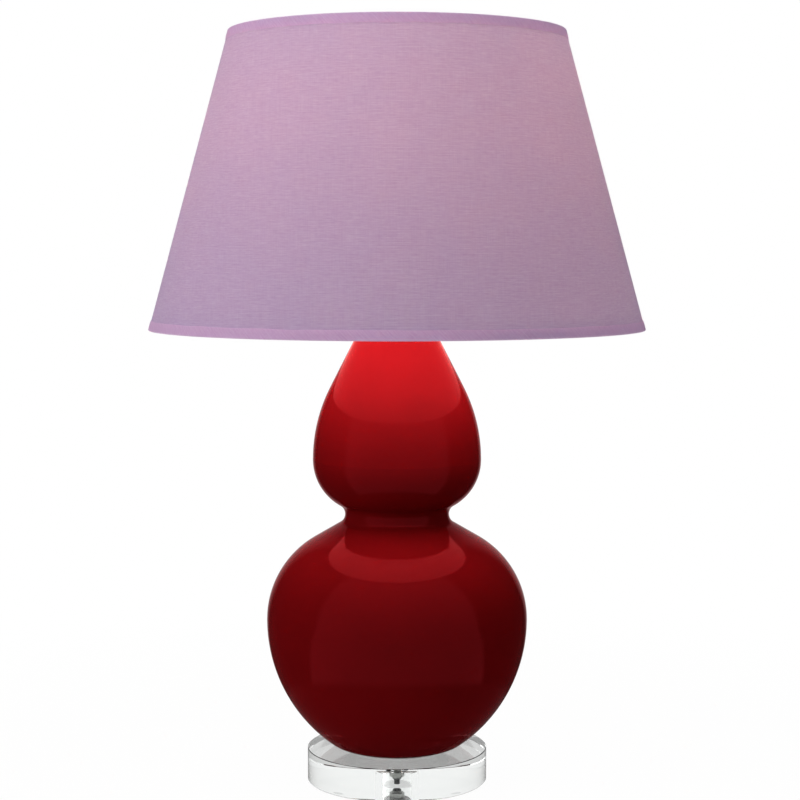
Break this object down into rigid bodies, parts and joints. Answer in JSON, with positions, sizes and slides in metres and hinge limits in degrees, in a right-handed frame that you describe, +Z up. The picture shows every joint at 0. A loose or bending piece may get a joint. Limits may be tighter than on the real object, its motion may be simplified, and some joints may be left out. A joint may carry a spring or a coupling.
{
  "type": "double gourd table lamp",
  "caption": "Table lamp with a glazed double-gourd body on a clear disc base, and a tapered fabric drum shade carried by a harp and closed with a ball finial.",
  "frame": {"origin": "on the lamp's axis, in the plane of the bumpers' undersides, where the lamp meets the table", "axes": "+Z up the lamp's axis; the harp stands in the XZ plane; the switch knob points to the front, along -Y"},
  "size_m": [0.5282, 0.5282, 0.8231],
  "materials": {
    "clear_rubber": "satin",
    "clear_acrylic": "gloss",
    "zinc_steel": "satin",
    "black_rubber": "matte",
    "white_felt": "matte",
    "red_glaze": "gloss",
    "nickel": "polished",
    "brass": "polished",
    "card_liner": "matte",
    "black_phenolic": "satin",
    "bulb_white": "satin",
    "aluminium": "satin",
    "white_wire": "satin",
    "white_styrene": "matte",
    "lilac_fabric": "matte"
  },
  "bodies": {
    "lamp": {"base_bumpers": "clear_rubber", "base_disc": "clear_acrylic", "base_lock_washer": "zinc_steel", "base_nut": "zinc_steel", "lamp_pipe": "zinc_steel", "cord_bushing": "black_rubber", "foot_gasket": "white_felt", "gourd_body": "red_glaze", "vase_cap": "nickel", "check_ring": "nickel", "neck_piece": "nickel", "top_nut": "zinc_steel", "harp_saddle": "nickel", "socket_cap": "nickel", "cap_set_screw": "zinc_steel", "socket_shell": "nickel", "socket_liner": "card_liner", "socket_block": "black_phenolic", "terminal_screws": "brass", "screw_shell": "brass", "centre_contact": "brass"},
    "knob": {"switch_stem": "brass", "switch_knob": "black_phenolic"},
    "bulb": {"bulb_glass": "bulb_white", "bulb_cap": "aluminium", "bulb_insulator": "black_phenolic", "bulb_tip": "zinc_steel"},
    "harp": {"harp_wire": "nickel"},
    "sleeve_left": {"harp_sleeve_left": "nickel"},
    "sleeve_right": {"harp_sleeve_right": "nickel"},
    "stud": {"harp_stud": "nickel"},
    "shade": {"spider_fitter": "white_wire", "bottom_ring": "white_wire", "shade_hardback": "white_styrene", "shade_fabric": "lilac_fabric", "top_trim": "lilac_fabric", "bottom_trim": "lilac_fabric"},
    "finial": {"finial": "nickel"}
  },
  "joints": [
    {"name": "switch_turn", "type": "hinge", "parent": "lamp", "child": "knob", "pos_m": [0, -0.022, 0.5721], "axis": [0, -1, 0], "continuous": true},
    {"name": "bulb_unscrew", "type": "slide", "parent": "lamp", "child": "bulb", "axis": [0, 0, 1], "range_m": [0, 0.03]},
    {"name": "harp_lift", "type": "slide", "parent": "lamp", "child": "harp", "axis": [0, 0, 1], "range_m": [0, 0.025]},
    {"name": "sleeve_left_lift", "type": "slide", "parent": "harp", "child": "sleeve_left", "axis": [0, 0, 1], "range_m": [0, 0.013]},
    {"name": "sleeve_right_lift", "type": "slide", "parent": "harp", "child": "sleeve_right", "axis": [0, 0, 1], "range_m": [0, 0.013]},
    {"name": "shade_turn", "type": "hinge", "parent": "harp", "child": "stud", "pos_m": [0, 0, 0.7855], "axis": [0, 0, 1], "continuous": true},
    {"name": "shade_lift", "type": "slide", "parent": "stud", "child": "shade", "axis": [0, 0, 1], "range_m": [0, 0.04]},
    {"name": "finial_lift", "type": "slide", "parent": "shade", "child": "finial", "axis": [0, 0, 1], "range_m": [0, 0.02]}
  ]
}
